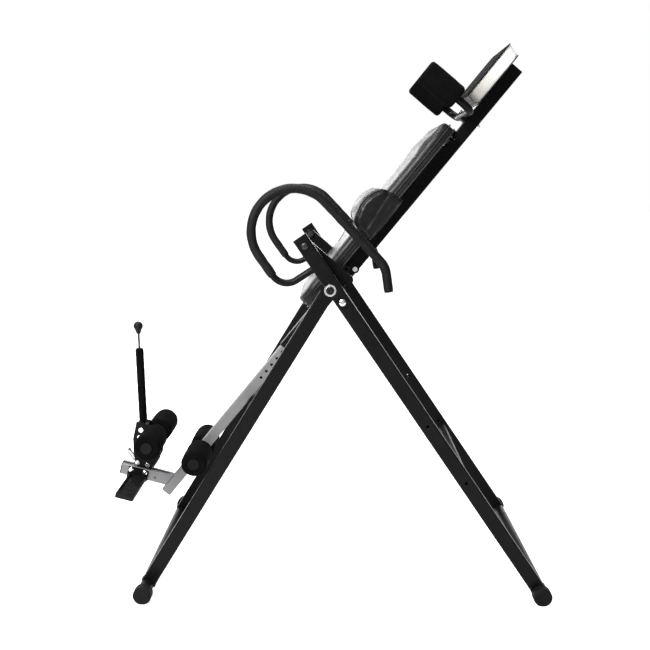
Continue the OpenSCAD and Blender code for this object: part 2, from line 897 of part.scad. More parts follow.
module latch_spring() {
    coil = 4.6;
    color(steel) on_clamp() at_spring() {
        translate([0, 0, -4]) cylinder(d = 8, h = 46);
        for (i = [0:7]) translate([0, 0, 2.2 + coil * i]) rotate_extrude() translate([5.8, 0]) circle(d = 4);
        translate([0, 0, 37.5]) cylinder(d = 18, h = 4.5);
    }
}

module on_lever() {
    on_clamp() translate([lever_at[0], 0, lever_at[1]]) rotate([0, lever_lean, 0]) children();
}

module release_rod() {
    color(steel) on_lever() translate([0, 0, -rod_tip]) cylinder(d = rod_d, h = rod_tip + ball_at - 6);
}

module ball_knob() {
    color(plastic) on_lever() difference() {
        union() {
            translate([0, 0, ball_at]) sphere(d = 28);
            translate([0, 0, ball_at - 24]) cylinder(d1 = 11, d2 = 22, h = 16);
        }
        translate([0, 0, ball_at - 30]) cylinder(d = rod_d, h = 24);
    }
}

// ---- Rest bar ----

module rest_bar() {
    color(paint) at_point(front_foot, front_dir) translate([rest_x, -front_leg_y, 0])
        rotate([-90, 0, 0]) linear_extrude(2 * front_leg_y) ring_profile(rest_bar_d, 1.5);
}

module rest_pad() {
    color(plastic) at_point(front_foot, front_dir) translate([rest_x, -35, 0]) rotate([-90, 0, 0])
        linear_extrude(70) difference() {
            circle(d = rest_bar_d + 2 * pad_t);
            circle(d = rest_bar_d);
        }
}

// ---- Parts ----

rear_leg_near();
rear_leg_far();
rear_foot_tube();
rear_cross_bar();
rear_foot_caps();
leg_end_plugs();
hand_rails();
rail_grips();
pivot_bolts();
pivot_spacers();
hinge_bolts();
hinge_washers();
lock_nuts();
spread_stop_bolts();
front_leg_near();
front_leg_far();
front_foot_tube();
front_foot_caps();
rest_bar();
rest_pad();
main_tube();
main_tube_plug();
pivot_yoke();
pivot_bushes();
board_brackets();
back_board();
bed_bolts();
backrest_cushion();
lumbar_pillow();
pillow_strap();
headrest_plate();
headrest_pad();
shoulder_saddle();
shoulder_tube();
shoulder_foam();
boom_guide();
pin_housing();
boom_tube();
ankle_channel();
channel_cap();
ratchet_rack();
rear_axle();
footrest_bracket();
foot_plates();
footrest_screws();
slide_block();
clamp_bracket();
clamp_bolts();
front_axle();
lever_tube();
lever_grip();
latch_spring();
release_rod();
ball_knob();
adjuster_pin();
adjuster_knob();
rear_roller_near();
rear_roller_far();
front_roller_near();
front_roller_far();
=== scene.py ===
import json
import math
import bpy
from mathutils import Matrix, Vector, noise


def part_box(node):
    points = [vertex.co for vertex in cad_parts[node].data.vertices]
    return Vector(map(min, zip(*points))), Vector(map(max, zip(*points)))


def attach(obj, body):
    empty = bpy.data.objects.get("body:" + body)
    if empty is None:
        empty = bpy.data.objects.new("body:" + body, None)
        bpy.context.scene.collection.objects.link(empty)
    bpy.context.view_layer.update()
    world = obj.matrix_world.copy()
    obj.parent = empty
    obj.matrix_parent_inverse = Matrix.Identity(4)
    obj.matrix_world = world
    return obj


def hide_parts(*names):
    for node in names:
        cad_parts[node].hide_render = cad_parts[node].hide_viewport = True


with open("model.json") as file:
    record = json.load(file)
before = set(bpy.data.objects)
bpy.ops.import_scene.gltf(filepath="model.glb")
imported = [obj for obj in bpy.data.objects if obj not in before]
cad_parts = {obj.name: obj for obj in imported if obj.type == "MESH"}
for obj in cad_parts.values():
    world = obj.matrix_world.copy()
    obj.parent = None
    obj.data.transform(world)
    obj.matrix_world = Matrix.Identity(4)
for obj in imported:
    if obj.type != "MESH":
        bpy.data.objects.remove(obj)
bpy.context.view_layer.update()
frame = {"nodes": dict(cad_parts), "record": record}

JOINTS = {j["name"]: j for j in frame["record"]["behaviour"]["joints"]}
MM = 0.001
BED_TILT = math.radians(50.65)
FRONT_AXLE_IN_CLAMP = Vector((-0.070, 0, 0.1345))
LEVER_FOOT_IN_CLAMP = (-0.118, 0, 0.154)
LEVER_LEAN = math.radians(-16)
RAIL_START = Vector((-0.046, 0, 0.055))  # from the folding hinge
RAIL_FIRST_TURN = math.radians(212.8)
RAIL_FIRST_RUN = 0.0535
RAIL_SPREAD = 0.013
FRONT_LEG_Y = 0.274
SHOULDER_FOAM_AT = (569, 140, -75)  # the foam's lower end, in the bed's mm
BACK_SEAM_V = -103.0  # the backrest's piped seam, in mm off the bed's plane
STITCH_PITCH = 0.0065
FLOOR_HALF = 30.0

# The photo's camera: metres, degrees, and a focal length in the photo's pixels.
SENSOR_MM = 36.0
PHOTO_PX = 650
FOCAL_PX = 841.2
CAMERA_FROM_HINGE = 0.0082
CAMERA_Y, CAMERA_Z = -2.5405, 1.1628
CAMERA_DOWN = 9.545
CAMERA_TURN = 0.567


# ---- Places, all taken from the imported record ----

def plane_matrix(origin, along):
    """A frame whose x runs along a direction in the XZ plane and whose z stands off it."""
    x = Vector(along).normalized()
    z = Vector((-x.z, 0, x.x))
    m = Matrix.Identity(4)
    for i, axis in enumerate((x, Vector((0, 1, 0)), z)):
        for k in range(3):
            m[k][i] = axis[k]
    m.translation = Vector(origin)
    return m


BED = plane_matrix(JOINTS["table_pivot"]["pos_m"], JOINTS["boom_slide"]["axis"])
CLAMP = plane_matrix((0, 0, 0), JOINTS["ankle_slide"]["axis"])
CLAMP.translation = Vector(JOINTS["front_roller_left_spin"]["pos_m"]) - CLAMP @ FRONT_AXLE_IN_CLAMP
PIVOT = Vector(JOINTS["table_pivot"]["pos_m"])
HINGE = Vector(JOINTS["frame_fold"]["pos_m"])


def bed(u, y, v):
    return BED @ Vector((u * MM, y * MM, v * MM))


# ---- Node helpers ----

class Nodes:
    """A short way to write a material's node tree."""

    def __init__(self, name):
        self.mat = bpy.data.materials.new(name)
        self.mat.use_nodes = True
        self.tree = self.mat.node_tree
        self.tree.nodes.clear()
        self.out = self.tree.nodes.new("ShaderNodeOutputMaterial")
        self.bsdf = self.tree.nodes.new("ShaderNodeBsdfPrincipled")
        self.link(self.bsdf.outputs[0], self.out.inputs["Surface"])
        self.coord = self.tree.nodes.new("ShaderNodeTexCoord")

    def link(self, a, b):
        self.tree.links.new(a, b)

    def add(self, kind, **values):
        node = self.tree.nodes.new(kind)
        for key, value in values.items():
            if key in node.inputs.keys():
                node.inputs[key].default_value = value
            else:
                setattr(node, key, value)
        return node

    def noise(self, scale, detail=4.0, rough=0.5, stretch=None):
        node = self.add("ShaderNodeTexNoise", Scale=scale, Detail=detail, Roughness=rough)
        self.link(self.place(stretch), node.inputs["Vector"])
        return node.outputs["Fac"]

    def place(self, stretch=None, turn=None):
        if stretch is None and turn is None:
            return self.coord.outputs["Object"]
        node = self.add("ShaderNodeMapping")
        if stretch:
            node.inputs["Scale"].default_value = stretch
        if turn:
            node.inputs["Rotation"].default_value = turn
        self.link(self.coord.outputs["Object"], node.inputs["Vector"])
        return node.outputs["Vector"]

    def cells(self, scale, feature="F1", stretch=None):
        node = self.add("ShaderNodeTexVoronoi", feature=feature, Scale=scale)
        self.link(self.place(stretch), node.inputs["Vector"])
        return node.outputs["Distance"]

    def ramp(self, fac, stops):
        node = self.add("ShaderNodeValToRGB")
        els = node.color_ramp.elements
        while len(els) < len(stops):
            els.new(0.5)
        for el, (pos, col) in zip(els, stops):
            el.position = pos
            el.color = (*col, 1) if len(col) == 3 else col
        self.link(fac, node.inputs["Fac"])
        return node.outputs["Color"]

    def span(self, fac, lo, hi, a=0.0, b=1.0):
        node = self.add("ShaderNodeMapRange")
        for key, value in (("From Min", a), ("From Max", b), ("To Min", lo), ("To Max", hi)):
            node.inputs[key].default_value = value
        self.link(fac, node.inputs["Value"])
        return node.outputs["Result"]

    def mix(self, fac, a, b):
        node = self.add("ShaderNodeMix", data_type="RGBA", blend_type="MIX")
        for sock, value in ((node.inputs[0], fac), (node.inputs[6], a), (node.inputs[7], b)):
            if hasattr(value, "is_linked"):
                self.link(value, sock)
            elif isinstance(value, (int, float)):
                sock.default_value = value
            else:
                sock.default_value = (*value, 1)
        return node.outputs[2]

    def math(self, op, a, b=0.5):
        node = self.add("ShaderNodeMath", operation=op)
        for sock, value in ((node.inputs[0], a), (node.inputs[1], b)):
            if hasattr(value, "is_linked"):
                self.link(value, sock)
            else:
                sock.default_value = value
        return node.outputs[0]

    def bump(self, *layers, edge=0.0):
        """Each layer is (height, strength, distance in metres); edge rounds the edges' shading."""
        normal = None
        if edge:
            node = self.add("ShaderNodeBevel", samples=4, Radius=edge)
            normal = node.outputs["Normal"]
        for height, strength, distance in layers:
            node = self.add("ShaderNodeBump", Strength=strength, Distance=distance)
            self.link(height, node.inputs["Height"])
            if normal:
                self.link(normal, node.inputs["Normal"])
            normal = node.outputs["Normal"]
        self.link(normal, self.bsdf.inputs["Normal"])

    def set(self, **values):
        names = {"color": "Base Color", "rough": "Roughness", "metal": "Metallic",
                 "spec": "Specular IOR Level", "coat": "Coat Weight", "coat_rough": "Coat Roughness",
                 "sheen": "Sheen Weight", "sheen_rough": "Sheen Roughness"}
        for key, value in values.items():
            sock = self.bsdf.inputs[names[key]]
            if hasattr(value, "is_linked"):
                self.link(value, sock)
            else:
                sock.default_value = (*value, 1) if isinstance(value, tuple) else value


# ---- Materials ----

def powder_coat(name, dark, light, worn, rough):
    """Sprayed and baked paint: orange peel, faint dust, and edges rubbed a little brighter."""
    n = Nodes(name)
    cloud = n.noise(9, 5, 0.6)
    peel = n.noise(650, 2, 0.45)
    dust = n.noise(1500, 1, 0.5)
    base = n.mix(n.span(cloud, 0, 1, 0.3, 0.7), dark, light)
    scuff = n.span(n.noise(45, 8, 0.75), 0, 1, 0.66, 0.72)
    base = n.mix(n.math("MULTIPLY", scuff, 0.25), base, worn)
    n.set(color=base, rough=n.span(n.noise(60, 4), rough - 0.06, rough + 0.08, 0.3, 0.7), spec=0.07)
    n.bump((peel, 0.12, 0.0004), (dust, 0.05, 0.0002), edge=0.0012)
    return n.mat


def rubber(name):
    n = Nodes(name)
    base = n.mix(n.noise(30, 5), (0.0025, 0.0025, 0.0025), (0.006, 0.0058, 0.0056))
    n.set(color=base, rough=n.span(n.noise(80, 3), 0.55, 0.78, 0.3, 0.7), spec=0.08)
    n.bump((n.noise(900, 3), 0.25, 0.0004), edge=0.0018)
    return n.mat


def sponge(name, rough=0.93, spec=0.02):
    """Closed-cell foam sleeve: fine open pores on a dull skin, each pore darkened with painted shade."""
    n = Nodes(name)
    pores = n.cells(620)
    skin = n.noise(240, 6, 0.7)
    # painted shade: the colour darkens at the centre of each pore
    base = n.mix(n.span(pores, 0, 1, 0.1, 0.55), (0.0006, 0.0006, 0.0006), (0.0024, 0.0024, 0.0024))
    base = n.mix(n.span(n.noise(14, 4), 0, 0.6, 0.45, 0.75), base, (0.0045, 0.0044, 0.0042))
    n.set(color=base, rough=rough, spec=spec)
    n.bump((skin, 0.35, 0.0008), (pores, 0.55, 0.0006))
    return n.mat


def plastic(name, tone=(0.0035, 0.0035, 0.0038), rough=0.42):
    n = Nodes(name)
    grain = n.cells(900)
    base = n.mix(n.noise(22, 4), tone, tuple(c * 1.7 for c in tone))
    n.set(color=base, rough=n.span(n.noise(120, 3), rough - 0.05, rough + 0.1, 0.3, 0.7), spec=0.1)
    n.bump((grain, 0.12, 0.0003), edge=0.0008)
    return n.mat


def plated(name, tone, rough, stretch=(1, 1, 1)):
    """Plated steel with faint turning marks and a dull bloom."""
    n = Nodes(name)
    lines = n.noise(700, 3, 0.6, stretch)
    bloom = n.noise(70, 5, 0.6)
    base = n.mix(n.span(bloom, 0, 1, 0.35, 0.75), tone, tuple(c * 0.72 for c in tone))
    n.set(color=base, metal=1.0, rough=n.span(lines, rough - 0.05, rough + 0.1, 0.3, 0.7))
    n.bump((lines, 0.08, 0.0002), edge=0.0006)
    return n.mat


def silver_coat(name):
    """Satin silver paint with fine metal flake."""
    n = Nodes(name)
    flake = n.cells(1800)
    base = n.mix(n.span(flake, 0, 1, 0.0, 0.6), (0.108, 0.108, 0.111), (0.150, 0.150, 0.153))
    base = n.mix(n.span(n.noise(8, 5), 0, 0.4, 0.4, 0.7), base, (0.104, 0.104, 0.108))
    n.set(color=base, metal=0.35, rough=n.span(n.noise(300, 3), 0.36, 0.5, 0.3, 0.7), spec=0.5)
    n.bump((n.noise(1200, 2), 0.1, 0.0002), (n.noise(30, 8, 0.8, (1, 6, 1)), 0.05, 0.0003), edge=0.001)
    return n.mat


def vinyl(name, dark, light, rough=0.34, crease_shade=0.5, stretch=(1, 1, 1), spec=0.5):
    """Leather-look vinyl: pebbled cells broken by short creases, with painted shade darkening the creases.
    """
    n = Nodes(name)
    pebble = n.cells(520, "SMOOTH_F1", stretch)
    crack = n.cells(300, "DISTANCE_TO_EDGE", stretch)
    soft = n.noise(11, 5, 0.55)
    base = n.mix(n.span(soft, 0, 1, 0.35, 0.7), dark, light)
    # painted shade: the colour darkens along the creases between the pebbles
    base = n.mix(n.span(crack, crease_shade, 0, 0, 0.06), base, tuple(c * 0.4 for c in dark))
    n.set(color=base, rough=n.span(n.noise(55, 4), rough - 0.05, rough + 0.1, 0.3, 0.7), spec=spec,
          coat=0.3 * spec, coat_rough=0.35)
    n.bump((n.noise(38, 6, 0.6), 0.14, 0.004), (pebble, 0.25, 0.0006), (crack, 0.12, 0.0004))
    return n.mat


def head_band(name):
    """The headrest's pale side band, greyed towards its lower end by painted shade."""
    n = Nodes(name)
    sep = n.add("ShaderNodeSeparateXYZ")
    n.link(n.place(turn=(0, BED_TILT, 0)), sep.inputs[0])
    start = (Matrix.Rotation(BED_TILT, 3, "Y") @ bed(597, 0, -110)).x
    # painted shade: the band's colour darkens from pale to grey-brown towards its lower end
    low = n.span(sep.outputs["X"], 0, 1, start + 0.004, start + 0.055)
    high = n.span(sep.outputs["X"], 0, 1, start + 0.055, start + 0.125)
    base = n.mix(low, (0.15, 0.143, 0.13), (0.37, 0.36, 0.335))
    base = n.mix(high, base, (0.58, 0.58, 0.56))
    base = n.mix(n.span(n.noise(26, 5), 0, 0.2, 0.45, 0.75), base, (0.28, 0.27, 0.255))
    n.set(color=base, rough=n.span(n.noise(60, 4), 0.35, 0.5, 0.3, 0.7), spec=0.5)
    n.bump((n.noise(38, 6, 0.6), 0.12, 0.003), (n.cells(520, "SMOOTH_F1"), 0.2, 0.0005))
    return n.mat


def plywood(name):
    n = Nodes(name)
    rings = n.add("ShaderNodeTexWave", Scale=14.0, Distortion=5.0, Detail=3.0)
    n.link(n.place((0.35, 3.0, 1.0)), rings.inputs["Vector"])
    base = n.ramp(rings.outputs["Fac"], [(0.0, (0.020, 0.015, 0.012)), (0.6, (0.05, 0.038, 0.03)),
                                         (1.0, (0.085, 0.065, 0.05))])
    base = n.mix(n.span(n.noise(300, 3, 0.6, (0.1, 1, 1)), 0, 0.5, 0.5, 0.7), base, (0.012, 0.01, 0.009))
    n.set(color=base, rough=0.62, spec=0.35)
    n.bump((n.noise(500, 4, 0.6, (0.1, 1, 1)), 0.25, 0.0004))
    return n.mat


def webbing(name):
    """Flat polyester webbing: a fine two-way weave from crossed waves."""
    n = Nodes(name)
    turned = n.place(turn=(0, BED_TILT, 0))
    bands = []
    for axis in ("X", "Y"):
        wave = n.add("ShaderNodeTexWave", bands_direction=axis, Scale=280.0, Distortion=0.4)
        n.link(turned, wave.inputs["Vector"])
        bands.append(wave.outputs["Fac"])
    weave = n.math("MAXIMUM", bands[0], bands[1])
    base = n.mix(weave, (0.004, 0.004, 0.004), (0.022, 0.022, 0.022))
    n.set(color=base, rough=0.8, spec=0.25, sheen=0.25, sheen_rough=0.4)
    n.bump((weave, 0.6, 0.0005))
    return n.mat


def thread(name):
    n = Nodes(name)
    n.set(color=n.mix(n.noise(2000, 2), (0.03, 0.03, 0.03), (0.09, 0.09, 0.09)), rough=0.6, spec=0.3)
    n.bump((n.noise(3000, 2), 0.4, 0.0002))
    return n.mat


M = {
    "black_enamel": powder_coat("black_enamel", (0.0024, 0.0024, 0.0026), (0.0042, 0.0042, 0.0045),
                                (0.016, 0.016, 0.016), 0.33),
    "black_rubber": rubber("black_rubber"),
    "black_foam": sponge("black_foam"),
    "black_plastic": plastic("black_plastic"),
    "bolt_chrome": plated("bolt_chrome", (0.86, 0.86, 0.88), 0.14),
    "zinc_steel": plated("zinc_steel", (0.62, 0.63, 0.65), 0.3),
    "silver_enamel": silver_coat("silver_enamel"),
    "black_vinyl": vinyl("black_vinyl", (0.008, 0.008, 0.0085), (0.015, 0.0145, 0.0145), spec=0.15),
    "plywood": plywood("plywood"),
    "black_webbing": webbing("black_webbing"),
}
BAND = head_band("headrest_band")
HEAD_VINYL = vinyl("headrest_vinyl", (0.003, 0.003, 0.003), (0.006, 0.006, 0.006), rough=0.75, spec=0.03)
PILLOW_VINYL = vinyl("pillow_vinyl", (0.0022, 0.0022, 0.0023), (0.0055, 0.0053, 0.0053), spec=0.14)
GRIP_FOAM = sponge("grip_foam", rough=0.55, spec=0.12)
DARK_STEEL = plated("blackened_steel", (0.05, 0.05, 0.053), 0.36)
THREAD = thread("sewing_thread")
DARKENED = ("pivot_bolts", "release_rod", "lock_nuts")


def dress_frame():
    slots = {s["node"]: s["material_slot"] for s in frame["record"]["subparts"]}
    for name, node in frame["nodes"].items():
        node.data.materials.clear()
        node.data.materials.append(DARK_STEEL if name in DARKENED else M[slots[name]])


dress_frame()


# ---- Mesh helpers ----

def to_object(name, verts, faces, mat, smooth=True):
    mesh = bpy.data.meshes.new(name)
    mesh.from_pydata([tuple(v) for v in verts], [], faces)
    mesh.materials.append(mat)
    obj = bpy.data.objects.new(name, mesh)
    bpy.context.collection.objects.link(obj)
    if smooth:
        for p in mesh.polygons:
            p.use_smooth = True
    return obj


def sweep(path, ring, closed=False):
    """Rings of points carried along a path; ring(i) gives the (across, up) pairs at its point i."""
    count = len(path)
    verts, faces = [], []
    up = None
    for i, p in enumerate(path):
        a = path[(i - 1) % count] if closed or i else path[0]
        b = path[(i + 1) % count] if closed or i < count - 1 else path[-1]
        d = (b - a).normalized()
        if up is None:
            ref = Vector((0, 1, 0)) if abs(d.y) < 0.9 else Vector((1, 0, 0))
            up = (ref - d * ref.dot(d)).normalized()
        else:
            up = (up - d * up.dot(d)).normalized()
        side = d.cross(up)
        pts = ring(i)
        verts += [p + side * x + up * y for x, y in pts]
    k = len(pts)
    for i in range(count if closed else count - 1):
        j = (i + 1) % count
        for n in range(k):
            m = (n + 1) % k
            faces.append((i * k + n, i * k + m, j * k + m, j * k + n))
    if not closed:
        faces.append(tuple(range(k - 1, -1, -1)))
        faces.append(tuple((count - 1) * k + n for n in range(k)))
    return verts, faces


def circle_ring(r, sides=16):
    angles = [2 * math.pi * n / sides for n in range(sides)]
    pts = [(r * math.cos(t), r * math.sin(t)) for t in angles]
    return lambda i: pts


def lathe(profile, matrix, sides=64, wobble=0.0, seed=0.0):
    """Turns (radius, height) points about z; wobble roughens the outline like cut foam."""
    verts, faces = [], []
    for r, h in profile:
        for n in range(sides):
            t = 2 * math.pi * n / sides
            v = Vector((r * math.cos(t), r * math.sin(t), h))
            if wobble and r > profile[0][0] * 1.05:
                k = noise.noise(v * 60 + Vector((seed, 0, 0))) + 0.5 * noise.noise(v * 170)
                v += Vector((math.cos(t), math.sin(t), 0)) * wobble * k
            verts.append(matrix @ v)
    for i in range(len(profile)):
        j = (i + 1) % len(profile)
        for n in range(sides):
            m = (n + 1) % sides
            faces.append((i * sides + n, i * sides + m, j * sides + m, j * sides + n))
    return verts, faces


def arc(cx, cy, r, a0, a1, steps):
    return [(cx + r * math.cos(math.radians(a0 + (a1 - a0) * k / steps)),
             cy + r * math.sin(math.radians(a0 + (a1 - a0) * k / steps))) for k in range(steps + 1)]


# ---- Foam ----

def sleeve_profile(r_in, r_out, length, fillet, rows=26):
    """A closed section: bore, soft end, outside with a faint barrel, soft end."""
    pts = [(r_in, length), (r_in, 0)]
    pts += [(r_in + (r_out - fillet - r_in) * k / 3, 0) for k in (1, 2, 3)]
    pts += arc(r_out - fillet, fillet, fillet, -80, 0, 6)
    for k in range(1, rows):
        s = k / rows
        barrel = 0.0006 * math.sin(math.pi * s)
        pts.append((r_out + barrel, fillet + (length - 2 * fillet) * s))
    pts += arc(r_out - fillet, length - fillet, fillet, 0, 80, 6)
    pts += [(r_out - fillet - (r_out - fillet - r_in) * k / 3, length) for k in (0, 1, 2)]
    return pts


def foam_sleeve(name, matrix, r_in, r_out, length, fillet, body, seed, replaces=None, wobble=0.0005):
    profile = sleeve_profile(r_in, r_out, length, fillet)
    verts, faces = lathe(profile, matrix, sides=72, wobble=wobble, seed=seed)
    obj = to_object(name, verts, faces, M["black_foam"])
    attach(obj, body)
    if replaces:
        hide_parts(replaces)
    return obj


def y_axis_matrix(origin, side):
    turn = Matrix.Rotation(math.radians(-90 * side), 4, "X")
    return Matrix.Translation(origin) @ turn


def ankle_rollers():
    for place, body_part in (("rear", "rear_roller"), ("front", "front_roller")):
        for side, word, lr in ((-1, "near", "left"), (1, "far", "right")):
            node = f"{place}_roller_{word}"
            lo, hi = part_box(node)
            centre = (lo + hi) / 2
            inner = min(abs(lo.y), abs(hi.y))
            origin = Vector((centre.x, side * inner, centre.z))
            r = (hi.z - lo.z) / 2
            foam_sleeve(f"{node}_foam", y_axis_matrix(origin, side), r_in=0.0096, r_out=r - 0.0004,
                        length=hi.y - lo.y, fillet=0.009, body=f"{body_part}_{lr}",
                        seed=3.0 * side + len(place), replaces=node)


def shoulder_rollers():
    u, y, v = SHOULDER_FOAM_AT
    for side, word in ((-1, "near"), (1, "far")):
        m = Matrix.Translation(bed(u, side * y, v)) @ BED.to_3x3().to_4x4()
        obj = foam_sleeve(f"shoulder_foam_{word}", m, r_in=0.0111, r_out=0.0346, length=0.121,
                          fillet=0.010, body="bed", seed=11.0 * side)
        cap = [(0.0088, 0.0012), (0.0112, 0.0004), (0.0112, -0.004), (0.002, -0.004), (0.002, 0.0011)]
        verts, faces = lathe(cap, m @ Matrix.Translation((0, 0, 0.1195)), 32)
        plug = to_object(f"shoulder_plug_{word}", verts, faces, M["black_plastic"])
        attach(plug, "bed")
        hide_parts("shoulder_foam")


def lever_handle():
    lean = Matrix.Rotation(LEVER_LEAN, 4, "Y")
    m = CLAMP @ Matrix.Translation(LEVER_FOOT_IN_CLAMP) @ lean @ Matrix.Translation((0, 0, 0.012))
    length, end, bore, rows = 0.226, 0.0015, 0.0095, 60
    prof = [(bore, length), (bore, 0.0)]
    prof += arc(0.0105, end, end, -80, 0, 3)
    for k in range(1, rows):
        z = end + (length - 2 * end) * k / rows
        prof.append((0.0123 + 0.0002 * math.sin(k * 0.8), z))
    prof += arc(0.0105, length - end, end, 0, 80, 3)
    verts, faces = lathe(prof, m, sides=40, wobble=0.00025, seed=5.0)
    obj = to_object("lever_grip_foam", verts, faces, M["black_foam"])
    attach(obj, "clamp")
    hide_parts("lever_grip")


def rail_path():
    """The foam-covered stretch of a hand rail, from its seam to the square end."""
    steps = [(0.063, 0.113, -171.5), (0.212, 0.065, -35), (0.048, 0, 0)]
    x, z, h = 0.0, 0.0, 0.0
    pts = [(0.0, 0.0)]
    for length, r, turn in steps:
        n = max(2, int(length / 0.006))
        pts += [(x + length * k / n * math.cos(h), z + length * k / n * math.sin(h))
                for k in range(1, n + 1)]
        x, z = pts[-1]
        if turn:
            t = math.radians(turn)
            n = max(4, int(abs(t) * r / 0.006))
            side = 1 if t > 0 else -1
            cx, cz = x - side * r * math.sin(h), z + side * r * math.cos(h)
            for k in range(1, n + 1):
                a = h + t * k / n
                pts.append((cx + side * r * math.sin(a), cz - side * r * math.cos(a)))
            x, z = pts[-1]
            h += t
    return pts


def rail_grips():
    first = RAIL_FIRST_TURN
    start = HINGE + RAIL_START
    corner = start + Vector((math.cos(first), 0, math.sin(first))) * RAIL_FIRST_RUN
    r, turn = 0.045, math.radians(-88)
    centre = corner + Vector((math.sin(first), 0, -math.cos(first))) * r
    h = first + turn
    seam = centre + Vector((-math.sin(h), 0, math.cos(h))) * r
    lo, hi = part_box("rail_grips")
    for side, word in ((-1, "near"), (1, "far")):
        y = side * (max(hi.y, -lo.y) - RAIL_SPREAD)
        path = [seam + Vector((math.cos(h) * a - math.sin(h) * b, 0, math.sin(h) * a + math.cos(h) * b))
                for a, b in rail_path()]
        path = [Vector((p.x, y, p.z)) for p in path]
        total = len(path)

        def ring(i, total=total, side=side):
            end = min(i, total - 1 - i)
            r = 0.0126 + 0.00035 * math.sin(i * 0.9 + side) * math.sin(i * 0.23)
            r *= (0.90, 0.965, 0.99)[end] if end < 3 else 1.0
            return circle_ring(r, 28)(i)

        verts, faces = sweep(path, ring)
        obj = to_object(f"rail_foam_{word}", verts, faces, GRIP_FOAM)
        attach(obj, "rear_frame")
        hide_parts("rail_grips")
        end = path[-1]
        d = (path[-1] - path[-2]).normalized()
        m = Matrix.Translation(end - d * 0.0004) @ d.to_track_quat("Z", "Y").to_matrix().to_4x4()
        verts, faces = lathe([(0.002, 0.0008), (0.0098, 0.0008), (0.0104, 0.0), (0.0104, -0.003),
                              (0.002, -0.003)], m, 32)
        plug = to_object(f"rail_plug_{word}", verts, faces, M["black_plastic"])
        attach(plug, "rear_frame")


# ---- Padded pieces ----

def puff(obj, pressure=4.0, cap=0.008, voxel=0.006, tension=15.0, hold=None):
    """Swells a closed form like stuffed fabric; hold(v) gives 0 where the piece must stay flat."""
    mod = obj.modifiers.new("remesh", "REMESH")
    mod.mode = "VOXEL"
    mod.voxel_size = voxel
    apply_modifiers(obj)
    rest = [v.co.copy() for v in obj.data.vertices]
    cloth = obj.modifiers.new("cloth", "CLOTH")
    st = cloth.settings
    st.use_pressure = True
    st.uniform_pressure_force = pressure
    st.effector_weights.gravity = 0.0
    st.tension_stiffness = st.compression_stiffness = tension
    st.bending_stiffness = 0.6
    st.quality = 4
    cloth.point_cache.frame_start, cloth.point_cache.frame_end = 1, 20
    scene = bpy.context.scene
    for f in range(1, 21):
        scene.frame_set(f)
    apply_modifiers(obj)
    scene.frame_set(1)
    for v, r in zip(obj.data.vertices, rest):
        move = v.co - r
        if move.length > cap:
            move = move.normalized() * cap
        v.co = r + move * (hold(r) if hold else 1.0)
    smooth = obj.modifiers.new("smooth", "SMOOTH")
    smooth.factor, smooth.iterations = 0.5, 3
    sub = obj.modifiers.new("sub", "SUBSURF")
    sub.levels = sub.render_levels = 1
    apply_modifiers(obj)
    for p in obj.data.polygons:
        p.use_smooth = True


def apply_modifiers(obj):
    graph = bpy.context.evaluated_depsgraph_get()
    made = bpy.data.meshes.new_from_object(obj.evaluated_get(graph))
    obj.modifiers.clear()
    obj.data = made


def rounded_plan(half_l, half_w, r, steps=10):
    pts = []
    for cx, cy, a0 in ((half_l - r, half_w - r, 0), (-half_l + r, half_w - r, 90),
                       (-half_l + r, -half_w + r, 180), (half_l - r, -half_w + r, 270)):
        pts += arc(cx, cy, r, a0, a0 + 90, steps)
    return pts


def loft(name, layers, mat):
    """A closed form from stacked outlines, each a list of points; the ends are capped."""
    verts = [p for layer in layers for p in layer]
    k = len(layers[0])
    faces = [(i * k + n, i * k + (n + 1) % k, (i + 1) * k + (n + 1) % k, (i + 1) * k + n)
             for i in range(len(layers) - 1) for n in range(k)]
    faces.append(tuple(range(k - 1, -1, -1)))
    faces.append(tuple((len(layers) - 1) * k + n for n in range(k)))
    return to_object(name, verts, faces, mat)


def piping(name, path, r, body, mat=None):
    verts, faces = sweep(path, circle_ring(r, 10), closed=True)
    obj = to_object(name, verts, faces, mat or M["black_vinyl"])
    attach(obj, body)


def seam_line(name, cover, plan, body):
    """Stitches along a closed line, dropped on to the cover under it."""
    path = []
    for a, b in zip(plan, plan[1:] + plan[:1]):
        steps = max(1, int((b - a).length / STITCH_PITCH))
        for k in range(steps):
            _, point, normal, _ = cover.closest_point_on_mesh(a.lerp(b, k / steps))
            path.append(point + normal * 0.0002)
    stitches(name, path + path[:1], body)


def stitches(name, path, body, r=0.00045, length=0.0045):
    """A row of short thread stitches laid along a path."""
    verts, faces = [], []
    run = 0.0
    for a, b in zip(path, path[1:]):
        seg = (b - a).length
        d = (b - a).normalized() if seg else None
        while d is not None and run < seg:
            p = a + d * run
            v, f = sweep([p, p + d * length * 0.5, p + d * length], circle_ring(r, 5))
            off = len(verts)
            verts += v
            faces += [tuple(i + off for i in face) for face in f]
            run += STITCH_PITCH
        run -= seg
    obj = to_object(name, verts, faces, THREAD)
    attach(obj, body)


BACK_U = (-147.0, 503.0)
BACK_HALF_W = 200.0


def back_crown(u, y):
    """How far the backrest's front stands above its edge, in mm."""
    s = (u - BACK_U[0]) / (BACK_U[1] - BACK_U[0])
    edge_u = min(1.0, 7.0 * min(s, 1 - s))
    edge_y = min(1.0, 3.2 * (1 - abs(y) / BACK_HALF_W))
    edge = math.sin(edge_u * math.pi / 2) * math.sin(edge_y * math.pi / 2)
    hump = 4.5 * math.exp(-((u - 415) / 30.0) ** 2)
    return edge * (2.5 + hump)


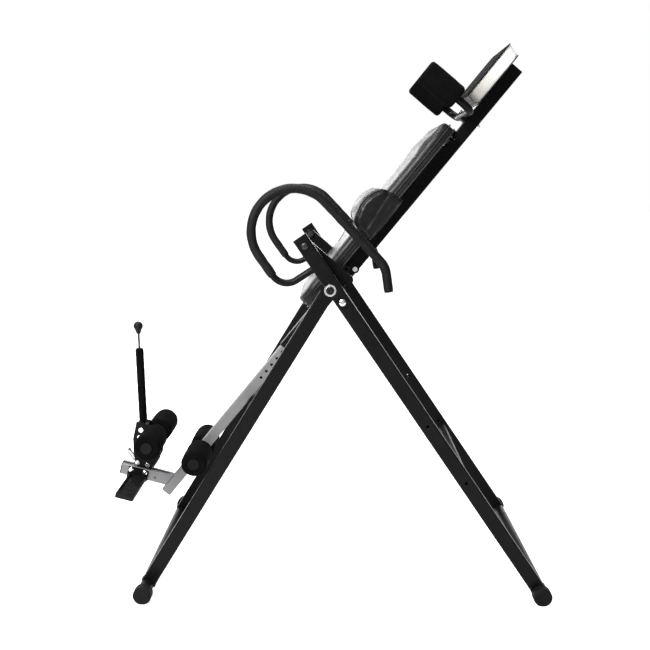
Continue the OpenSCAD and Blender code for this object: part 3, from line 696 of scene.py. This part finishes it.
def backrest():
    mid_u, half_l = sum(BACK_U) / 2, (BACK_U[1] - BACK_U[0]) / 2
    layers = []
    for v, inset in ((-121, 7), (-119, 4), (-112, 3), (-100, 2.5), (-90, 2.5), (-86, 4.5), (-84.5, 10)):
        plan = rounded_plan(half_l - inset, BACK_HALF_W - inset, 60 - inset, 12)
        layers.append([bed(mid_u + x, y, v) for x, y in plan])
    obj = loft("backrest_cover", layers, M["black_vinyl"])
    inv = BED.inverted()

    def hold(co):
        v = (inv @ co).z / MM
        return min(1.0, max(0.0, (v + 119) / 18))

    puff(obj, pressure=4.0, cap=0.002, voxel=0.006, hold=hold)
    for vert in obj.data.vertices:
        p = inv @ vert.co
        u, y, v = p.x / MM, p.y / MM, p.z / MM
        top = min(1.0, max(0.0, (v + 112) / 24))
        lift = back_crown(u, y) * top
        edge = max(abs(y) - (BACK_HALF_W - 16), 0) / 16
        seam = 1.6 * math.exp(-((v - BACK_SEAM_V) / 2.2) ** 2)
        pull = Vector((0, 0, 0))
        out = Vector((max(abs(u - mid_u) - half_l + 60, 0) * (1 if u > mid_u else -1),
                      max(abs(y) - BACK_HALF_W + 60, 0) * (1 if y > 0 else -1), 0))
        if out.length > 40:
            pull = -out.normalized() * seam
        ripple = 0.5 * noise.noise(Vector((u, y, v)) * 0.022) * top * (1 - min(1, edge))
        vert.co = BED @ ((Vector((u, y, v + lift + ripple)) + pull) * MM)
    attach(obj, "bed")
    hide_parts("backrest_cushion")
    plan = rounded_plan(half_l - 1.2, BACK_HALF_W - 1.2, 58, 20)
    piping("backrest_piping", [bed(mid_u + x, y, BACK_SEAM_V) for x, y in plan], r=0.0016, body="bed")
    plan = rounded_plan(half_l - 3.0, BACK_HALF_W - 3.0, 57, 20)
    lower = [bed(mid_u + x, y, -119.5) for x, y in plan]
    piping("backrest_hem", lower, r=0.0018, body="bed")
    plan = rounded_plan(half_l - 17, BACK_HALF_W - 17, 44, 20)
    seam_line("backrest_stitches", obj, [bed(mid_u + x, y, -78) for x, y in plan], "bed")


PILLOW_FRONT = [(120, -84), (124, -68), (136, -58), (150, -53), (170, -46), (192, -45), (215, -49),
                (234, -57), (247, -66), (254, -80)]


def pillow():
    """The lumbar pillow: a soft wedge across the backrest, with side panels that wrap round its edges."""
    layers = []
    rows = 44
    for k in range(rows + 1):
        s = -1 + 2 * k / rows
        y = 209 * s
        end = abs(s) ** 6
        layer = []
        for u, v in PILLOW_FRONT:
            full = v - 9 * end * max(0.0, (v + 84) / 40)
            layer.append(bed(u, y, full))
        for u, v in ((254, -83.2), (240, -83.4), (215, -83.4), (190, -83.4), (165, -83.4), (140, -83.4)):
            layer.append(bed(u, y, v))
        layers.append(layer)
    obj = loft("lumbar_pillow_cover", layers, PILLOW_VINYL)
    inv = BED.inverted()

    def hold(co):
        v = (inv @ co).z / MM
        return min(1.0, max(0.0, (v + 82) / 16))

    puff(obj, pressure=3.0, cap=0.004, voxel=0.005, hold=hold)
    for vert in obj.data.vertices:
        p = inv @ vert.co
        u, y, v = p.x / MM, p.y / MM, p.z / MM
        fold = 0.9 * noise.noise(Vector((u * 0.02, y * 0.03, 3.0)))
        fold += 0.5 * noise.noise(Vector((u, y, v)) * 0.06)
        if v > -80:
            vert.co = BED @ (Vector((u, y, v + fold)) * MM)
    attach(obj, "bed")
    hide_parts("lumbar_pillow")
    for side, word in ((-1, "near"), (1, "far")):
        pillow_flap(side, word)


FLAP = [(116, -133), (116, -120), (118, -100), (122, -78), (132, -66), (150, -58), (170, -50), (192, -49),
        (215, -53), (234, -61), (247, -70), (252, -84), (255, -104), (257, -124), (258, -133)]


def pillow_flap(side, word):
    """A padded side panel that hangs down over the backrest's edge."""
    inner, outer = 200.8, 208.5
    layers = []
    rows = ((inner, 3.0), (inner + 1.2, 0.8), ((inner + outer) / 2, 0.0), (outer - 1.2, 1.0), (outer, 4.0))
    for y, inset in rows:
        mu = sum(p[0] for p in FLAP) / len(FLAP)
        mv = sum(p[1] for p in FLAP) / len(FLAP)
        layer = []
        for u, v in FLAP:
            d = Vector((u - mu, v - mv))
            d = d * (1 - inset / d.length)
            layer.append(bed(mu + d.x, side * y, mv + d.y))
        layers.append(layer if side > 0 else layer[::-1])
    obj = loft(f"pillow_side_{word}", layers, PILLOW_VINYL)
    puff(obj, pressure=2.0, cap=0.0025, voxel=0.004)
    inv = BED.inverted()
    for vert in obj.data.vertices:
        p = inv @ vert.co
        u, y, v = p.x / MM, p.y / MM, p.z / MM
        if abs(y) > (inner + outer) / 2:
            crease = 1.3 * math.exp(-((v + 96 - 0.12 * (u - 187)) / 5.0) ** 2)
            wave = 1.2 * noise.noise(Vector((u * 0.035, v * 0.05, side * 2.0)))
            vert.co = BED @ (Vector((u, y + side * (wave - crease), v)) * MM)
    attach(obj, "bed")
    path = [bed(u, side * (outer - 0.6), v) for u, v in FLAP]
    piping(f"pillow_piping_{word}", smooth_loop(path), r=0.0013, body="bed", mat=PILLOW_VINYL)


def smooth_loop(path, times=2):
    """Rounds a closed run of points by cutting its corners."""
    for _ in range(times):
        made = []
        for i, a in enumerate(path):
            b = path[(i + 1) % len(path)]
            made += [a * 0.75 + b * 0.25, a * 0.25 + b * 0.75]
        path = made
    return path


def strap():
    """Webbing under the board, and the loose end that hangs from the pillow."""
    parts = [([bed(190, -200.5, -122.5), bed(190, -100, -122.6), bed(190, 0, -122.7), bed(190, 100, -122.6),
               bed(190, 200.5, -122.5)], 0.019, (1, 0)),
             ([bed(124, -195, -52), bed(116, -195, -56), bed(100, -196, -59), bed(84, -195, -63),
               bed(70, -194, -65), bed(60, -195, -65.5)], 0.010, (0, 1))]
    for i, (path, half, across) in enumerate(parts):
        verts, faces = [], []
        for p in path:
            wide = (BED.to_3x3() @ Vector((1, 0, 0)) if across[0] else Vector((0, 1, 0))) * half
            up = BED.to_3x3() @ Vector((0, 0, 1)) * 0.0008
            verts += [p - wide - up, p + wide - up, p + wide + up, p - wide + up]
        for k in range(len(path) - 1):
            for n in range(4):
                m = (n + 1) % 4
                faces.append((k * 4 + n, k * 4 + m, k * 4 + 4 + m, k * 4 + 4 + n))
        faces += [(3, 2, 1, 0), tuple((len(path) - 1) * 4 + n for n in range(4))]
        name = ("pillow_strap_band", "pillow_strap_end")[i]
        obj = to_object(name, verts, faces, M["black_webbing"], smooth=False)
        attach(obj, "bed")
        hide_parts("pillow_strap")


def headrest():
    lo_u, hi_u, half_w = 599.0, 777.0, 109.0
    mid_u, half_l = (lo_u + hi_u) / 2, (hi_u - lo_u) / 2

    def top_end(u, v):
        return u + 7.0 * max(0.0, (u - mid_u) / half_l) * min(1.0, max(0.0, (v + 131) / 38))

    layers = []
    for v, inset in ((-130.5, 7), (-129, 4), (-122, 2), (-108, 1), (-97, 0), (-92, 0), (-90.5, 3),
                     (-89.5, 10)):
        plan = rounded_plan(half_l - inset, half_w - inset, 26 - inset, 12)
        layers.append([bed(top_end(mid_u + x, v), y, v) for x, y in plan])
    obj = loft("headrest_cover", layers, HEAD_VINYL)
    inv = BED.inverted()

    def hold(co):
        v = (inv @ co).z / MM
        return min(1.0, max(0.0, (v + 128) / 14))

    puff(obj, pressure=4.0, cap=0.002, voxel=0.005, hold=hold)
    for vert in obj.data.vertices:
        p = inv @ vert.co
        u, y, v = p.x / MM, p.y / MM, p.z / MM
        s = (u - lo_u) / (hi_u - lo_u)
        edge = math.sin(min(1.0, max(0.0, 4 * min(s, 1 - s))) * math.pi / 2)
        edge *= math.sin(min(1.0, max(0.0, 2.6 * (1 - abs(y) / half_w))) * math.pi / 2)
        top = min(1.0, max(0.0, (v + 110) / 14))
        vert.co = BED @ (Vector((u, y, v + 2.5 * edge * top)) * MM)
    obj.data.materials.append(BAND)
    for p in obj.data.polygons:
        n = (inv.to_3x3() @ p.normal).z
        v = (inv @ p.center).z / MM
        p.material_index = 1 if n < 0.6 and v < -93.5 else 0
    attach(obj, "bed")
    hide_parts("headrest_pad")
    plan = rounded_plan(half_l - 0.4, half_w - 0.4, 25, 16)
    path = [bed(top_end(mid_u + x, -92.0), y, -92.0) for x, y in plan]
    piping("headrest_piping", path, r=0.0014, body="bed", mat=HEAD_VINYL)
    plan = rounded_plan(half_l - 3.0, half_w - 3.0, 23, 16)
    lower = [bed(mid_u + x, y, -129.5) for x, y in plan]
    piping("headrest_hem", lower, r=0.0014, body="bed", mat=HEAD_VINYL)
    plan = rounded_plan(half_l - 15, half_w - 15, 14, 16)
    seam_line("headrest_stitches", obj, [bed(mid_u + x, y, -86) for x, y in plan], "bed")


# ---- Small fittings ----

def hinge_shade_plugs():
    """Black plastic domes set in the rings of the hinge bolts: a dark fill that paints the shade of the
    rings' hollow centres.
    """
    for side, word in ((-1, "near"), (1, "far")):
        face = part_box("hinge_bolts")[1].y - 0.0038
        m = y_axis_matrix(Vector((HINGE.x, side * face, HINGE.z)), side)
        dome = [(0.0008, 0.0), (0.0083, 0.0), (0.0083, 0.0040), (0.0108, 0.0040)]
        dome += arc(0.0098, 0.0052, 0.0012, 0, 80, 4) + [(0.0055, 0.0068), (0.0008, 0.0070)]
        # painted shade: a black fill stands in for the shade inside each bolt ring
        verts, faces = lathe(dome, m, 40)
        obj = to_object(f"hinge_shade_plug_{word}", verts, faces, M["black_plastic"])
        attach(obj, "rear_frame")


def weld_bead(name, path, body, r=0.0021):
    """A rippled bead of weld, painted over with the frame."""
    fine = []
    for a, b in zip(path, path[1:] + path[:1]):
        steps = max(1, int((b - a).length / 0.0016))
        fine += [a.lerp(b, k / steps) for k in range(steps)]

    def ring(i):
        size = r * (1 + 0.16 * math.sin(i * 1.9) + 0.22 * noise.noise(fine[i] * 300))
        return [(size * math.cos(t * math.pi / 4), size * math.sin(t * math.pi / 4)) for t in range(8)]

    verts, faces = sweep(fine, ring, closed=True)
    obj = to_object(name, verts, faces, M["black_enamel"])
    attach(obj, body)


def leg_welds():
    """The beads where the legs meet the foot tubes."""
    for end, top, body in (("rear", PIVOT, "rear_frame"), ("front", HINGE, "front_frame")):
        lo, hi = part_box(f"{end}_foot_tube")
        foot, r = (lo + hi) / 2, (hi.z - lo.z) / 2
        frame_in = plane_matrix(foot, (top.x - foot.x, 0, top.z - foot.z))
        for side, word in ((-1, "near"), (1, "far")):
            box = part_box(f"{end}_leg_{word}")
            mid = (box[0].y + box[1].y) / 2 if end == "rear" else side * FRONT_LEG_Y
            path = []
            for y, z in rounded_plan(half_l=0.015, half_w=0.020, r=0.004, steps=4):
                x = max(0.008, math.sqrt(max(0.0, r * r - z * z)))
                path.append(frame_in @ Vector((x, y, z)) + Vector((0, mid, 0)))
            weld_bead(f"{end}_leg_weld_{word}", path, body)


ankle_rollers()
shoulder_rollers()
lever_handle()
rail_grips()
backrest()
pillow()
strap()
headrest()
hinge_shade_plugs()
leg_welds()


# ---- Stage, light and camera ----

def stage_floor():
    mesh = bpy.data.meshes.new("floor")
    s = FLOOR_HALF
    mesh.from_pydata([(-s, -s, 0), (s, -s, 0), (s, s, 0), (-s, s, 0)], [], [(0, 1, 2, 3)])
    floor = bpy.data.objects.new("floor", mesh)
    bpy.context.collection.objects.link(floor)
    n = Nodes("studio_floor")
    n.set(color=(0.72, 0.72, 0.72), rough=0.9, spec=0.05)
    n.bsdf.inputs["Emission Color"].default_value = (1, 1, 1, 1)
    path = n.add("ShaderNodeLightPath")
    n.link(n.span(path.outputs["Is Camera Ray"], 0.18, 0.78), n.bsdf.inputs["Emission Strength"])
    mesh.materials.append(n.mat)


def area_light(name, at, target, size, power):
    data = bpy.data.lights.new(name, "AREA")
    data.energy = power
    data.shape = "RECTANGLE"
    data.size = data.size_y = size
    obj = bpy.data.objects.new(name, data)
    bpy.context.collection.objects.link(obj)
    obj.location = at
    obj.rotation_euler = (Vector(target) - Vector(at)).to_track_quat("-Z", "Y").to_euler()


def studio():
    """A white studio: pale to the eye, a bright band low behind the object, and dim on the near side."""
    world = bpy.data.worlds.new("studio")
    bpy.context.scene.world = world
    world.use_nodes = True
    tree = world.node_tree
    tree.nodes.clear()
    new, link = tree.nodes.new, tree.links.new
    out, seen, lit = new("ShaderNodeOutputWorld"), new("ShaderNodeBackground"), new("ShaderNodeBackground")
    mix, path, coord = new("ShaderNodeMixShader"), new("ShaderNodeLightPath"), new("ShaderNodeTexCoord")
    seen.inputs["Strength"].default_value = 1.0
    seen.inputs["Color"].default_value = (1, 1, 1, 1)
    sep = new("ShaderNodeSeparateXYZ")
    link(coord.outputs["Generated"], sep.inputs[0])

    def span(sock, a, b, lo, hi):
        node = new("ShaderNodeMapRange")
        node.interpolation_type = "SMOOTHSTEP"
        for key, value in (("From Min", a), ("From Max", b), ("To Min", lo), ("To Max", hi)):
            node.inputs[key].default_value = value
        link(sock, node.inputs["Value"])
        return node.outputs["Result"]

    def join(op, a, b):
        node = new("ShaderNodeMath")
        node.operation = op
        for sock, value in zip(node.inputs, (a, b)):
            if hasattr(value, "is_linked"):
                link(value, sock)
            else:
                sock.default_value = value
        return node.outputs[0]

    behind = span(sep.outputs["Y"], 0.72, 0.97, 0.0, 1.0)
    low = span(sep.outputs["Z"], 0.30, 0.12, 0.0, 1.0)
    above = span(sep.outputs["Z"], 0.35, 1.0, 0.0, 0.9)
    band = join("MULTIPLY", join("MULTIPLY", behind, low), 5.0)
    link(join("ADD", join("ADD", band, above), 0.22), lit.inputs["Strength"])
    link(path.outputs["Is Camera Ray"], mix.inputs[0])
    link(lit.outputs[0], mix.inputs[1])
    link(seen.outputs[0], mix.inputs[2])
    link(mix.outputs[0], out.inputs["Surface"])
    area_light("overhead", (-0.3, 0.3, 3.4), target=(0, 0, 0.8), size=2.4, power=130)
    area_light("back_left", (-2.6, 2.4, 2.0), target=(0, 0, 1.0), size=1.6, power=40)
    area_light("key", (-1.8, -3.0, 2.8), target=(0, 0, 0.9), size=1.8, power=330)


def photo_camera():
    data = bpy.data.cameras.new("camera")
    data.sensor_width = SENSOR_MM
    data.lens = SENSOR_MM * FOCAL_PX / PHOTO_PX
    cam = bpy.data.objects.new("camera", data)
    bpy.context.collection.objects.link(cam)
    cam.location = (HINGE.x + CAMERA_FROM_HINGE, CAMERA_Y, CAMERA_Z)
    cam.rotation_euler = (math.radians(90 - CAMERA_DOWN), 0, math.radians(CAMERA_TURN))
    bpy.context.scene.camera = cam


stage_floor()
studio()
photo_camera()
bpy.context.scene.view_settings.view_transform = "Standard"
